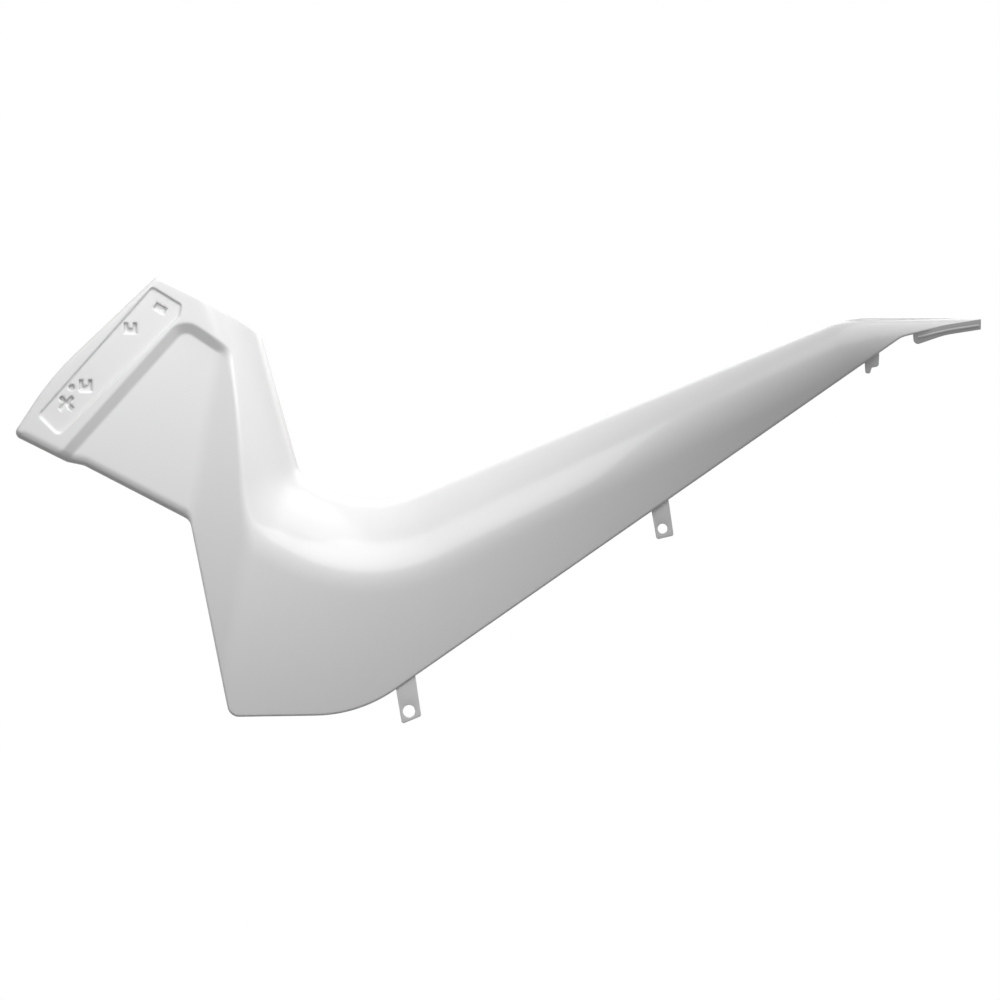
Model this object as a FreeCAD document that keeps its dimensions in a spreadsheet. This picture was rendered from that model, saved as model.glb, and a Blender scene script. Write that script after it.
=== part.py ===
import FreeCAD, Part
import math
import os

# Left side panel of a scooter: one thin moulding with a wing in front, a pillar,
# a deep body and a tail that runs back under the seat. It is built as an outer
# form less an inner form, opened at the back and trimmed along its lower edge.
# +X points to the rear, +Z up, and the outer face looks towards -Y. The origin
# is the centre of the front tab's hole, at its outer face. All sizes are in mm.

Vector = FreeCAD.Vector
doc = FreeCAD.newDocument("side_panel_model")
sheet = doc.addObject("Spreadsheet::Sheet", "sizes")

driving_sizes = [
    # the moulding
    ("wall", 2.6),
    ("flange_depth", 11.0),
    ("back_depth", 84.0),
    ("back_turn", 4.5),
    ("tail_taper", 15.6),
    ("root_turn", 24.0),
    # corners of the outline, behind and above the front hole
    ("wing_tip_x", -337.5), ("wing_tip_z", 234.6),
    ("wing_waist_x", -304.7), ("wing_waist_z", 284.5),
    ("wing_top_x", -214.2), ("wing_top_z", 370.6),
    ("wing_brow_x", -175.1), ("wing_brow_z", 351.5),
    ("pillar_top_x", -127.5), ("pillar_top_z", 322.6),
    ("pillar_foot_x", -93.1), ("pillar_foot_z", 200.6),
    ("valley_x", -36.6), ("valley_z", 169.2),
    ("tail_bend_x", 376.6), ("tail_bend_z", 336.2),
    ("tail_tip_x", 488.0), ("tail_tip_z", 335.0),
    ("tail_nose_x", 456.5), ("tail_nose_z", 327.4),
    ("tail_chin_x", 419.9), ("tail_chin_z", 318.2),
    ("keel_x", -42.5), ("keel_z", -3.4),
    ("heel_x", -152.6), ("heel_z", -5.1),
    ("notch_x", -186.6), ("notch_z", 161.9),
    ("step_x", -277.1), ("step_z", 208.7),
    ("step_run", 14.5), ("step_drop", 3.0),
    ("tip_height", 2.6),
    # roundings of the outline
    ("valley_radius", 93.0),
    ("bend_radius", 100.0),
    ("keel_radius", 120.0),
    ("corner_radius", 6.0),
    ("notch_radius", 10.0),
    # how far the top edge rolls over
    ("shoulder_front", 80.0),
    ("shoulder_rear", 40.0),
    ("shoulder_tip", 14.0),
    ("cap_drop", 14.0),
    # the flat facet in front of the body
    ("facet_foot_x", -159.4),
    ("facet_turn", 26.6),
    ("facet_lean", 4.66),
    # the wing
    ("wing_depth", 19.0),
    ("wing_flange", 22.0),
    ("rim_radius", 3.6),
    ("recess_depth", 7.5),
    ("recess_slope", 50.0),
    ("recess_radius", 9.0),
    ("pocket_depth", 2.5),
    ("pocket_slope", 20.0),
    ("pocket_radius", 3.0),
    # sockets in the pocket
    ("socket_depth", 5.0),
    ("socket_wall", 1.8),
    ("clip_width", 11.0),
    ("clip_height", 9.5),
    ("clip_tongue", 4.0),
    ("lug_width", 11.0),
    ("lug_height", 5.5),
    ("screw_bore", 5.2),
    ("cross_length", 15.0),
    ("cross_bar", 3.6),
    # tabs, hook and tongue
    ("tab_setback", 3.0),
    ("tab_width", 16.5),
    ("tab_lean", 9.0),
    ("tab_shift", 1.0),
    ("tab_foot", 7.8),
    ("front_foot_turn", 23.0),
    ("rear_foot_turn", 13.0),
    ("front_hole_bore", 10.4),
    ("rear_tab_x", 215.6),
    ("rear_tab_drop", 21.0),
    ("rear_tab_width", 14.6),
    ("rear_hole_bore", 8.2),
    ("hook_before_chin", 25.9),
    ("hook_width", 12.5),
    ("hook_drop", 13.0),
    ("tongue_length", 58.5),
    ("tongue_drop", 7.4),
    ("tongue_rise", 1.5),
    ("tongue_setback", 9.4),
]
for row, (alias, value) in enumerate(driving_sizes, 1):
    sheet.set("A%d" % row, alias)
    sheet.set("B%d" % row, str(value))
    sheet.setAlias("B%d" % row, alias)
doc.recompute()


def size(alias):
    return float(sheet.get(alias))


wall = size("wall")
reach = 700.0              # tool blocks run this far past the panel
clearance = 4.0            # tools overlap what they cut by this much


# Points and outlines in the side view

def corner(name, radius=0.0):
    """An outline corner from the sheet, with its rounding."""
    return (size(name + "_x"), size(name + "_z"), radius)


def meet(p, q, r, s):
    """The point where the line p-q crosses the line r-s."""
    ax, az, bx, bz = q[0] - p[0], q[1] - p[1], s[0] - r[0], s[1] - r[1]
    k = ((r[0] - p[0]) * bz - (r[1] - p[1]) * bx) / (ax * bz - az * bx)
    return (p[0] + k * ax, p[1] + k * az)


def past(p, q, distance):
    """The point that lies a distance past q on the line p-q."""
    length = math.hypot(q[0] - p[0], q[1] - p[1])
    k = distance / length
    return (q[0] + k * (q[0] - p[0]), q[1] + k * (q[1] - p[1]))


def beside(name, right, up, radius=0.0):
    """A point that keeps its distance from an outline corner."""
    return (size(name + "_x") + right, size(name + "_z") + up, radius)


def off_line(p, q, point):
    """How far a point of the model lies from the stretch p-q."""
    stretch = Part.makeLine(Vector(p[0], 0, p[1]), Vector(q[0], 0, q[1]))
    return stretch.distToShape(Part.Vertex(Vector(point.x, 0, point.z)))[0]


def outline(name, corners):
    """A closed sketch in the side view, with its corners rounded."""
    sketch = doc.addObject("Sketcher::SketchObject", name)
    sketch.Placement = FreeCAD.Placement(Vector(), FreeCAD.Rotation(Vector(1, 0, 0), 90))
    points = [Vector(c[0], c[1], 0) for c in corners]
    starts, ends, arcs = [], [], []
    for i, point in enumerate(points):
        radius = corners[i][2] if len(corners[i]) > 2 else 0.0
        before = (points[i - 1] - point).normalize()
        after = (points[(i + 1) % len(points)] - point).normalize()
        half = before.getAngle(after) / 2
        starts.append(point + before * radius / math.tan(half))
        ends.append(point + after * radius / math.tan(half))
        middle = point + (before + after).normalize() * (radius / math.sin(half) - radius)
        arcs.append(Part.Arc(starts[i], middle, ends[i]) if radius else None)
    for i, arc in enumerate(arcs):
        if arc:
            sketch.addGeometry(arc)
        sketch.addGeometry(Part.LineSegment(ends[i], starts[(i + 1) % len(points)]))
    return sketch


# Document objects

def offset(name, profile, expression, join="Intersection"):
    """The profile moved outwards by a size, or inwards by a negative one."""
    moved = doc.addObject("Part::Offset2D", name)
    moved.Source = profile
    moved.Join = join
    moved.setExpression("Value", expression)
    return moved


def push(name, profile, front, back):
    """A prism through the profile from y = front to y = back."""
    prism = doc.addObject("Part::Extrusion", name)
    prism.Base = profile
    prism.DirMode = "Custom"
    prism.Dir = Vector(0, 1, 0)
    prism.Solid = True
    prism.LengthFwd = back
    prism.LengthRev = -front
    return prism


def combine(kind, name, *parts):
    """A Part::Cut, Part::Common or Part::MultiFuse of the given objects."""
    result = doc.addObject("Part::" + kind, name)
    if kind == "MultiFuse":
        result.Shapes = list(parts)
    else:
        result.Base, result.Tool = parts
    return result


def block(name, low, high):
    """A box between two corners."""
    box = doc.addObject("Part::Box", name)
    box.Length, box.Width, box.Height = high - low
    box.Placement.Base = low
    return box


def half_space(name, point, normal):
    """A block on the side of a plane that the normal points to."""
    box = doc.addObject("Part::Box", name)
    box.Length = box.Width = box.Height = 2 * reach
    turn = FreeCAD.Rotation(Vector(0, 0, 1), normal)
    box.Placement = FreeCAD.Placement(point - turn.multVec(Vector(reach, reach, 0)), turn)
    return box


# The outer face: a loft through arcs that stand across the panel. Each section
# has its place along X, the height of its middle, half its height, the depth of
# its middle, the lean of the face there and the bulge of its arc.
face_sections = [
    (-400.0, 180.0, 300.0, 0.0, 0.00, 4.0),
    (-60.0, 150.0, 260.0, 0.0, 0.00, 4.0),
    (120.0, 160.0, 170.0, 2.0, -0.02, 6.0),
    (300.0, 252.0, 140.0, 20.0, -0.08, 6.0),
    (420.0, 315.0, 110.0, 42.0, -0.12, 6.0),
    (520.0, 330.0, 100.0, 66.0, -0.12, 6.0),
]


def face_block(tag, depth):
    """Everything behind the outer face, moved in by a depth."""
    sketches = []
    for number, (place, middle, half, deep, lean, bulge) in enumerate(face_sections):
        sketch = doc.addObject("Sketcher::SketchObject", "%s_section_%d" % (tag, number))
        sketch.Placement = FreeCAD.Placement(Vector(place, 0, 0), FreeCAD.Rotation(Vector(1, 1, 1), 120))
        front = deep + depth
        top = Vector(front + bulge + lean * half, middle + half, 0)
        waist = Vector(front, middle, 0)
        foot = Vector(front + bulge - lean * half, middle - half, 0)
        back_top, back_foot = Vector(reach, top.y, 0), Vector(reach, foot.y, 0)
        sketch.addGeometry(Part.Arc(foot, waist, top))
        sketch.addGeometry(Part.LineSegment(top, back_top))
        sketch.addGeometry(Part.LineSegment(back_top, back_foot))
        sketch.addGeometry(Part.LineSegment(back_foot, foot))
        sketches.append(sketch)
    loft = doc.addObject("Part::Loft", tag + "_face")
    loft.Sections = sketches
    loft.Solid = True
    loft.Ruled = False
    return loft


# The top edge: pillar, valley and tail, with ends that run past the panel
pillar_far = past(corner("pillar_foot"), corner("pillar_top"), 150.0)
tail_far = past(corner("tail_bend"), corner("tail_tip"), 120.0)
top_corners = [
    pillar_far,
    corner("pillar_foot", 20.0),
    corner("valley", size("valley_radius")),
    corner("tail_bend", size("bend_radius")),
    tail_far,
    (tail_far[0], -reach / 2),
    (-reach, -reach / 2),
    (-reach, pillar_far[1]),
]
top_outline = outline("top_outline", top_corners)


def shoulder(tag, taken, inset="-sizes.wall"):
    """The face block with its top edge rolled over, widest at the pillar."""
    profile = offset(tag + "_top_profile", top_outline, inset) if taken else top_outline
    column = push(tag + "_top_column", profile, -reach, reach)
    raw = combine("Common", tag + "_block", face_block(tag, taken), column)
    doc.recompute()
    places = [size("valley_x"), size("tail_bend_x"), tail_far[0]]
    radii = [size("shoulder_front"), size("shoulder_rear"), size("shoulder_tip")]

    def radius(x):
        for start, finish, first, last in zip(places, places[1:], radii, radii[1:]):
            if x < finish:
                share = max((x - start) / (finish - start), 0.0)
                return first + share * (last - first) - taken
        return radii[-1] - taken
    rolled = doc.addObject("Part::Fillet", tag + "_shoulder")
    rolled.Base = raw
    edges = []
    for number, edge in enumerate(raw.Shape.Edges, 1):
        first, last = edge.valueAt(edge.FirstParameter), edge.valueAt(edge.LastParameter)
        middle = edge.valueAt((edge.FirstParameter + edge.LastParameter) / 2)
        on_top = profile.Shape.distToShape(Part.Vertex(Vector(middle.x, 0, middle.z)))[0] < 0.1
        along_top = abs(first.x - last.x) > 1 and pillar_far[0] < middle.x < tail_far[0]
        if on_top and along_top and middle.y < reach / 3 and middle.z > 0:
            ends = sorted([first.x, last.x])
            edges.append((number, radius(ends[0]), radius(ends[1])))
    rolled.Edges = edges
    return rolled


# The lower edge of body and tail. Its upper side runs just below the top of the
# wing, so that the wing alone shapes the top.
heel_line = (corner("heel"), corner("notch"))
cap_line = (beside("wing_brow", 0, -size("cap_drop")), beside("pillar_top", 0, -size("cap_drop")))
tail_end = (size("tail_tip_x"), size("tail_tip_z") - size("tip_height"))
lower_corners = [
    meet(*heel_line, *cap_line),
    past(*cap_line, 60.0),
    (size("tail_tip_x"), reach),
    tail_end,
    corner("tail_nose", 60.0),
    corner("tail_chin", 20.0),
    corner("keel", size("keel_radius")),
    corner("heel", 10.0),
]
lower_outline = outline("lower_outline", lower_corners)

# The wing's outline: its rear end lies inside the body, and its lower edge turns
# down along the body's front edge with a rounded notch
step_left = (size("step_x") - size("step_run"), size("step_z") + size("step_drop"), 3.0)
wing_root_top = beside("pillar_foot", 2.0, 0.0)
wing_root_low = past(corner("heel"), corner("notch"), -24.0)
wing_root_low = (wing_root_low[0] + 2.0, wing_root_low[1])
wing_corners = [
    corner("wing_tip", size("corner_radius")),
    corner("wing_waist", 250.0),
    corner("wing_top", size("corner_radius")),
    corner("wing_brow", 150.0),
    corner("pillar_top", size("corner_radius") + 2.0),
    wing_root_top,
    wing_root_low,
    corner("notch", size("notch_radius")),
    corner("step", 3.0),
    step_left,
]
wing_outline = outline("wing_outline", wing_corners)

# The large recess is open below and runs under the facet; the long pocket lies
# between it and the wing's front rim.
recess_outline = outline("recess_outline", [
    beside("step", -19.6, -2.1),
    beside("wing_top", 22.9, -46.7, size("recess_radius")),
    beside("pillar_top", -30.5, -20.6, size("recess_radius")),
    beside("pillar_top", -30.5, -228.6),
    beside("step", -19.6, -114.7),
])
pocket_outline = outline("pocket_outline", [
    beside("wing_tip", 23.0, 17.0, size("pocket_radius")),
    beside("wing_top", -4.3, -11.0, size("pocket_radius")),
    beside("wing_top", 19.5, -25.5, size("pocket_radius")),
    beside("wing_top", 17.8, -34.8, size("pocket_radius")),
    beside("wing_tip", 39.1, 0.9, size("pocket_radius") + 1.0),
])


def rounded_rim(slab):
    """The wing's slab with the front edge of its rim rolled over."""
    doc.recompute()
    rolled = doc.addObject("Part::Fillet", "wing_rim")
    rolled.Base = slab
    edges = []
    for number, edge in enumerate(slab.Shape.Edges, 1):
        middle = edge.valueAt((edge.FirstParameter + edge.LastParameter) / 2)
        in_front = max(v.Point.y for v in edge.Vertexes) - size("wing_depth") < 0.01
        off_root = min(off_line(wing_root_top, wing_root_low, middle),
                       off_line(corner("pillar_top"), wing_root_top, middle))
        if in_front and off_root > 1:
            edges.append((number, size("rim_radius"), size("rim_radius")))
    rolled.Edges = edges
    return rolled


def hollow(name, profile, depth, slope, taken):
    """A tapered tool that sinks a profile into the wing."""
    if taken:
        widening = "sizes.wall * tan((90 - sizes.%s) / 2)" % slope
        profile = offset(name + "_profile", profile, widening, "Arc")
    tool = doc.addObject("Part::Extrusion", name)
    tool.Base = profile
    tool.DirMode = "Custom"
    tool.Dir = Vector(0, -1, 0)
    tool.Solid = True
    tool.setExpression("LengthFwd", "sizes.%s + %g" % (depth, clearance))
    tool.setExpression("TaperAngle", "sizes.%s" % slope)
    tool.Placement.Base = Vector(0, size("wing_depth") + size(depth) + taken, 0)
    return tool


def wing(tag, taken):
    """The wing as a block with its recess and its pocket."""
    profile = offset(tag + "_wing_profile", wing_outline, "-sizes.wall") if taken else wing_outline
    slab = push(tag + "_wing_slab", profile, size("wing_depth") + taken, reach)
    rolled = slab if taken else rounded_rim(slab)
    recess = hollow(tag + "_recess", recess_outline, "recess_depth", "recess_slope", taken)
    pocket = hollow(tag + "_pocket", pocket_outline, "pocket_depth", "pocket_slope", taken)
    sunk = combine("Cut", tag + "_wing_sunk", rolled, recess)
    return combine("Cut", tag + "_wing", sunk, pocket)


# The facet in front of the body leans in towards the wing
facet_turn, facet_lean = math.radians(size("facet_turn")), math.radians(size("facet_lean"))
facet_normal = Vector(-math.tan(facet_turn), -1, math.tan(facet_lean)).normalize()
facet_foot = Vector(size("facet_foot_x"), 0, 0)


def form(tag, taken):
    """The panel as a solid: its outer form, or its inner form with the wall taken off."""
    profile = offset(tag + "_lower_profile", lower_outline, "-sizes.wall") if taken else lower_outline
    column = push(tag + "_lower_column", profile, -reach, reach)
    field = block(tag + "_field", Vector(-reach, -reach / 2, -reach), Vector(reach, reach, 2 * reach))
    around = combine("Cut", tag + "_around", field, column)
    facet = half_space(tag + "_facet", facet_foot - facet_normal * taken, facet_normal)
    removed = combine("MultiFuse", tag + "_removed", around, facet)
    carved = combine("Cut", tag + "_carved", removed, wing(tag, taken))
    return combine("Cut", tag + "_form", shoulder(tag, taken), carved)


outer = form("outer", 0.0)
inner = form("inner", wall)
shell = combine("Cut", "shell", outer, inner)

# Behind, the shell ends at a plane that follows the tail, and nearer behind the
# wing, with a slope between the two.
def behind(name, x, y, turn):
    """Everything behind a plane through a place in the top view, turned to the rear."""
    return half_space(name, Vector(x, y, 0), Vector(-math.tan(math.radians(turn)), 1, 0))


back_slope = math.tan(math.radians(size("back_turn")))
wing_back = size("wing_depth") + size("wing_flange")
tail_back = size("back_depth") + size("tail_bend_x") * back_slope
behind_wing = combine("Common", "behind_wing", behind("wing_limit", size("notch_x"), wing_back, 0),
                      behind("root_limit", size("notch_x"), wing_back, size("root_turn")))
behind_body = behind("back_limit", 0, size("back_depth"), size("back_turn"))
behind_tail = behind("tail_limit", size("tail_bend_x"), tail_back, -size("tail_taper"))
behind_all = combine("MultiFuse", "behind_all", behind_body, behind_tail, behind_wing)
opened = combine("Cut", "opened", shell, behind_all)

# Along the lower edge the wall turns in as a shallow flange
flange = size("flange_depth")
flange_block = combine("Cut", "flange_block", shoulder("flange", flange, "-sizes.flange_depth"),
                       half_space("flange_facet", facet_foot - facet_normal * flange, facet_normal))
flange_profile = offset("flange_profile", lower_outline, "-sizes.wall - %g" % clearance)
flange_inside = push("flange_inside", flange_profile, -reach, reach)
pillar_keep = block("pillar_keep", Vector(-reach, -reach, size("notch_z") + 12.0),
                    Vector(size("valley_x"), reach, reach))
edge_block = combine("Cut", "edge_block", flange_block, flange_inside)
below_edge = combine("Cut", "below_edge", edge_block, pillar_keep)
trimmed = combine("Cut", "trimmed", opened, below_edge)
doc.recompute()


# Tabs, hook and tongue hang from the lower edge, set back behind the face

def face_depth(x, z):
    """Depth of the outer face at a place in the side view."""
    ray = Part.makeLine(Vector(x, -reach, z), Vector(x, reach, z))
    return min(vertex.Point.y for vertex in ray.common(outer.Shape).Vertexes)


def edge_height(x):
    """Height of the straight lower edge at x."""
    keel, chin = corner("keel"), corner("tail_chin")
    return keel[1] + (x - keel[0]) * (chin[1] - keel[1]) / (chin[0] - keel[0])


edge_angle = math.atan2(size("tail_chin_z") - size("keel_z"), size("tail_chin_x") - size("keel_x"))
root = wall + clearance        # how far a tab runs up behind the edge


def plate(name, corners, front):
    """A flat plate of the wall's thickness whose outer face lies at y = front."""
    flat = push(name, outline(name + "_outline", corners), 0.0, wall)
    flat.setExpression("LengthFwd", "sizes.wall")
    flat.Placement.Base = Vector(0, front, 0)
    return flat


def tab(name, hole_x, hole_z, width, foot_turn, front):
    """A tab that leans forward, with a sloping foot and a root that follows the edge."""
    lean = math.radians(size("tab_lean"))
    down = Vector(math.sin(lean), -math.cos(lean))
    axis = Vector(hole_x + size("tab_shift"), hole_z)
    low = axis + down * size("tab_foot")
    high = axis - down * (edge_height(hole_x) - hole_z + root)
    foot = Vector(width / 2, width / 2 * math.tan(math.radians(foot_turn)))
    top = Vector(width / 2, width / 2 * math.tan(edge_angle))
    corners = [high - top, low - foot, low + foot, high + top]
    radii = [0.0, 2.0, 2.0, 0.0]
    return plate(name, [(c.x, c.y, r) for c, r in zip(corners, radii)], front)


def bore(name, x, z, alias, front):
    """A round hole through a tab."""
    cylinder = doc.addObject("Part::Cylinder", name)
    cylinder.setExpression("Radius", "sizes.%s / 2" % alias)
    cylinder.Height = wall + 2 * clearance
    across = FreeCAD.Rotation(Vector(1, 0, 0), -90)
    cylinder.Placement = FreeCAD.Placement(Vector(x, front - clearance, z), across)
    return cylinder


front_tab_y = face_depth(0, edge_height(0) + root) + size("tab_setback")
rear_x = size("rear_tab_x")
rear_z = edge_height(rear_x) - size("rear_tab_drop")
rear_tab_y = face_depth(rear_x, edge_height(rear_x) + root) + size("tab_setback")
front_tab = tab("front_tab", 0, 0, size("tab_width"), size("front_foot_turn"), front_tab_y)
rear_tab = tab("rear_tab", rear_x, rear_z, size("rear_tab_width"), size("rear_foot_turn"), rear_tab_y)

hook_x = size("tail_chin_x") - size("hook_before_chin")
hook_y = face_depth(hook_x, edge_height(hook_x) + root) + size("tab_setback")
hook_left, hook_right = hook_x - size("hook_width") / 2, hook_x + size("hook_width") / 2
hook_foot = edge_height(hook_x) - size("hook_drop")
hook = plate("hook", [
    (hook_left, edge_height(hook_left) + root),
    (hook_left + 1.0, hook_foot, 2.0),
    (hook_left + 5.0, hook_foot, 1.6),
    (hook_left + 6.5, hook_foot + 5.0, 1.0),
    (hook_right, hook_foot + 6.0, 3.0),
    (hook_right + 0.6, edge_height(hook_right) + root),
], hook_y)

# The tongue follows the tail's lower edge and hangs below it
tongue_left = size("tail_tip_x") - size("tongue_length")
chin, nose = corner("tail_chin"), corner("tail_nose")
tongue_root = chin[1] + (tongue_left - chin[0]) * (nose[1] - chin[1]) / (nose[0] - chin[0])
rise, drop = size("tongue_rise"), size("tongue_drop")
tongue_outline = outline("tongue_outline", [
    (tongue_left, tongue_root + rise),
    (tongue_left + 1.0, tongue_root - 9.6, 4.0),
    (nose[0], nose[1] - drop, 80.0),
    (size("tail_tip_x"), tail_end[1] - drop),
    (size("tail_tip_x"), tail_end[1] + rise),
    (nose[0], nose[1] + rise, 60.0),
])
tongue_column = push("tongue_column", tongue_outline, -reach, reach)
tongue_skin = combine("Cut", "tongue_skin", face_block("tongue", size("tongue_setback")),
                      face_block("tongue_back", size("tongue_setback") + wall))
tongue = combine("Common", "tongue", tongue_skin, tongue_column)


# Sockets in the pocket's floor: two for clips, one for a lug, one for a screw and
# a cross-shaped one. Each is blind and has a block of its own behind the floor.
def turned(corners, centre, angle):
    """Corners round a centre, turned in the side view."""
    c, s = math.cos(math.radians(angle)), math.sin(math.radians(angle))
    return [(centre[0] + x * c - z * s, centre[1] + x * s + z * c, r) for x, z, r in corners]


def rectangle(width, height, radius=0.0):
    """A rectangle's corners round its middle."""
    x, z = width / 2, height / 2
    return [(-x, -z, radius), (x, -z, radius), (x, z, radius), (-x, z, radius)]


clip_x, clip_z, tongue_x = size("clip_width") / 2, size("clip_height") / 2, size("clip_tongue") / 2
clip_shape = rectangle(2 * clip_x, 2 * clip_z)[:3]
clip_shape += [(tongue_x, clip_z, 0), (tongue_x, 0, 0), (-tongue_x, 0, 0), (-tongue_x, clip_z, 0)]
clip_shape += [(-clip_x, clip_z, 0)]
arm, bar = size("cross_length") / 2, size("cross_bar") / 2
cross_shape = []
for quarter in range(4):
    cross_shape += turned([(arm, -bar, 0), (arm, bar, 0), (bar, bar, 0)], (0, 0), 90 * quarter)
lug_shape = rectangle(size("lug_width"), size("lug_height"))
screw_shape = rectangle(size("screw_bore"), size("screw_bore"), 0.49 * size("screw_bore"))
sockets = [
    ("clip_high", clip_shape, size("clip_width"), size("clip_height"), beside("wing_top", -23.0, -45.0), 0),
    ("clip_low", clip_shape, size("clip_width"), size("clip_height"), beside("wing_tip", 62.1, 42.5), 0),
    ("lug", lug_shape, size("lug_width"), size("lug_height"), beside("wing_top", 2.5, -28.0), -31),
    ("screw", screw_shape, size("screw_bore"), size("screw_bore"), beside("wing_tip", 50.2, 40.8), 0),
    ("cross", cross_shape, size("cross_length"), size("cross_length"), beside("wing_tip", 45.9, 27.2), 45),
]
pocket_floor = size("wing_depth") + size("pocket_depth")
socket_floor = pocket_floor + size("socket_depth")
blocks, cavities = [], []
for name, shape, width, height, centre, angle in sockets:
    around = 2 * size("socket_wall")
    block_shape = turned(rectangle(width + around, height + around), centre, angle)
    blocks.append(push(name + "_block", outline(name + "_block_outline", block_shape),
                       pocket_floor + wall / 2, socket_floor + size("socket_wall")))
    cavities.append(push(name, outline(name + "_outline", turned(shape, centre, angle)),
                         pocket_floor - clearance, socket_floor))

joined = combine("MultiFuse", "joined", trimmed, front_tab, rear_tab, hook, tongue, *blocks)
holes = combine("MultiFuse", "holes", bore("front_hole", 0, 0, "front_hole_bore", front_tab_y),
                bore("rear_hole", rear_x, rear_z, "rear_hole_bore", rear_tab_y), *cavities)
panel = combine("Cut", "side_panel", joined, holes)
panel.Placement.Base = Vector(0, -front_tab_y, 0)
doc.recompute()

# Checks, then the file
for thing in doc.Objects:
    if "Invalid" in thing.State or "Error" in thing.State:
        raise RuntimeError("%s could not be built" % thing.Name)
nodes = [panel]
for node in nodes:
    if node.Shape.isNull() or not node.Shape.isValid() or len(node.Shape.Solids) != 1:
        raise RuntimeError("%s is not one valid solid" % node.Label)
os.makedirs("parts", exist_ok=True)
for node in nodes:
    node.Shape.exportStep("parts/%s.step" % node.Label)
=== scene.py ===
import bpy
import bmesh
import math
import numpy as np
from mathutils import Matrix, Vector
from mathutils.geometry import delaunay_2d_cdt


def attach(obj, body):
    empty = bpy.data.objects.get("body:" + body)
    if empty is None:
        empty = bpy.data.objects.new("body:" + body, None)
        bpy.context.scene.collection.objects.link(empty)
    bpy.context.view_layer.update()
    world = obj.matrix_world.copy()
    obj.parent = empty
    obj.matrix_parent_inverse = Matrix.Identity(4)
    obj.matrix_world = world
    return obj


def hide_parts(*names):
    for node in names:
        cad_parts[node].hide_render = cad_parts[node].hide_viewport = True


# Left side panel of a scooter, dressed over its CAD solid. The panel is drawn in
# the side view: x to the rear, z up, and the depth y runs inwards from the face.
# Shapes are written in millimetres and become metres when a mesh is made.

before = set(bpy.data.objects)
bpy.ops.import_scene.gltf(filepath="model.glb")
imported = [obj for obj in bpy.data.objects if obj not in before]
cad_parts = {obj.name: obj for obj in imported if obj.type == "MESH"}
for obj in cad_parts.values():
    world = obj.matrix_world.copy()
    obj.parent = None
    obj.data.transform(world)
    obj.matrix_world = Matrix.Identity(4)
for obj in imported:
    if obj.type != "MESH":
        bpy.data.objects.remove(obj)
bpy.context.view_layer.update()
mm = 0.001
tabDepth = 3.416           # the face of the front tab, where the frame has its origin
leastRound = 0.3           # no rounding gets smaller
arcTurn = math.radians(9)  # the most that a rounding turns from point to point
doubles = 0.00002          # points that lie closer, in metres, are one
print("frame loaded")

panel = {
    "wall": 2.6,
    "flange": 11.0,
    "backDepth": 84.0,
    "backSlope": math.tan(math.radians(4.5)),
    "wingBack": 41.0,
    "rootSlope": math.tan(math.radians(24)),
    "tailTaper": 0.28,
    "step": 2.2,           # spacing of the points round the outline
    "grid": 2.4,           # spacing of the points across the face
    "innerStep": 1.5,      # how much wider both spacings are on the inside
    "innerGrid": 1.6,
    "rows": 14,            # rows that follow a rolled edge
    "rowShare": 0.36,      # how much of the shoulder's radius they cover
    "rowReach": 3.6,       # how far they run in from the other edges
    "rowSpare": 0.85,      # how much of that is left where the outline is narrow
    "rowChange": 0.6,      # how fast it may change along the edge
    "wallRows": 6,
    "wallLeast": 2.0,      # the wall behind the edge is never shorter
    "wallPasses": 6,       # how often its end is evened out
    "bend": 0.12,          # where the face bends by more, its points stand closer
    "crest": 3.6,          # softness of the crest between facet and body
    "brow": 5.0,           # how much softer it gets high on the pillar
    "browFrom": 262.0,
    "browRise": 60.0,
    "crease": 3.0,         # softness of the crease between facet and wing
}

# Corners of the outline, clockwise from the wing's tip: x, z, rounding, and the
# side that follows
tipLow = (488.0, 332.4)
corners = [
    (-337.5, 234.6, 6.0, "wing"),
    (-304.7, 284.5, 250.0, "wing"),
    (-214.2, 370.6, 6.2, "wing"),
    (-175.1, 351.5, 150.0, "wing"),
    (-127.5, 322.6, 8.0, "top"),
    (-93.1, 200.6, 20.0, "top"),
    (-36.6, 169.2, 93.0, "top"),
    (376.6, 336.2, 100.0, "top"),
    (488.0, 335.0, 0.8, "tip"),
    (*tipLow, 0.8, "lower"),
    (456.5, 327.4, 60.0, "lower"),
    (419.9, 318.2, 20.0, "lower"),
    (-42.5, -3.4, 120.0, "lower"),
    (-152.6, -5.1, 10.0, "lower"),
    (-186.6, 161.9, 10.0, "under"),
    (-277.1, 208.7, 7.0, "under"),
    (-291.6, 211.7, 7.0, "under"),
]
tipApex = (503.3, 334.8, 0.8, "lower")     # where the tail's two edges would meet
nose, chin, keel = (corners[k][:2] for k in (10, 11, 12))
valleyX, tailBendX, notchX = (corners[k][0] for k in (6, 7, 14))
edgeRoll = {"wing": 3.6, "tip": 0.7, "lower": 2.0, "under": 9.0}


# The larger of two values, rounded off where they cross
def smoothMax(a, b, h):
    return np.maximum(a, b) + np.maximum(h - np.abs(a - b), 0) ** 2 / (4 * h)


def smoothMin(a, b, h):
    return -smoothMax(-a, -b, h)


# Moves each side of a clockwise outline inwards; a rounding shrinks or grows with it
def insetCorners(points, taken):
    result = []
    count = len(points)
    for i in range(count):
        p, c, n = (np.array(points[(i + k) % count][:2], float) for k in (-1, 0, 1))
        u, v = (c - p) / np.linalg.norm(c - p), (n - c) / np.linalg.norm(n - c)
        nu, nv = np.array((u[1], -u[0])), np.array((v[1], -v[0]))
        bisector = (nu + nv) / (1 + nu @ nv)
        convex = u[0] * v[1] - u[1] * v[0] < 0
        radius = max(points[i][2] - taken, leastRound) if convex else points[i][2] + taken
        result.append((*(c + bisector * taken), radius, *points[i][3:]))
    return result


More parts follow.
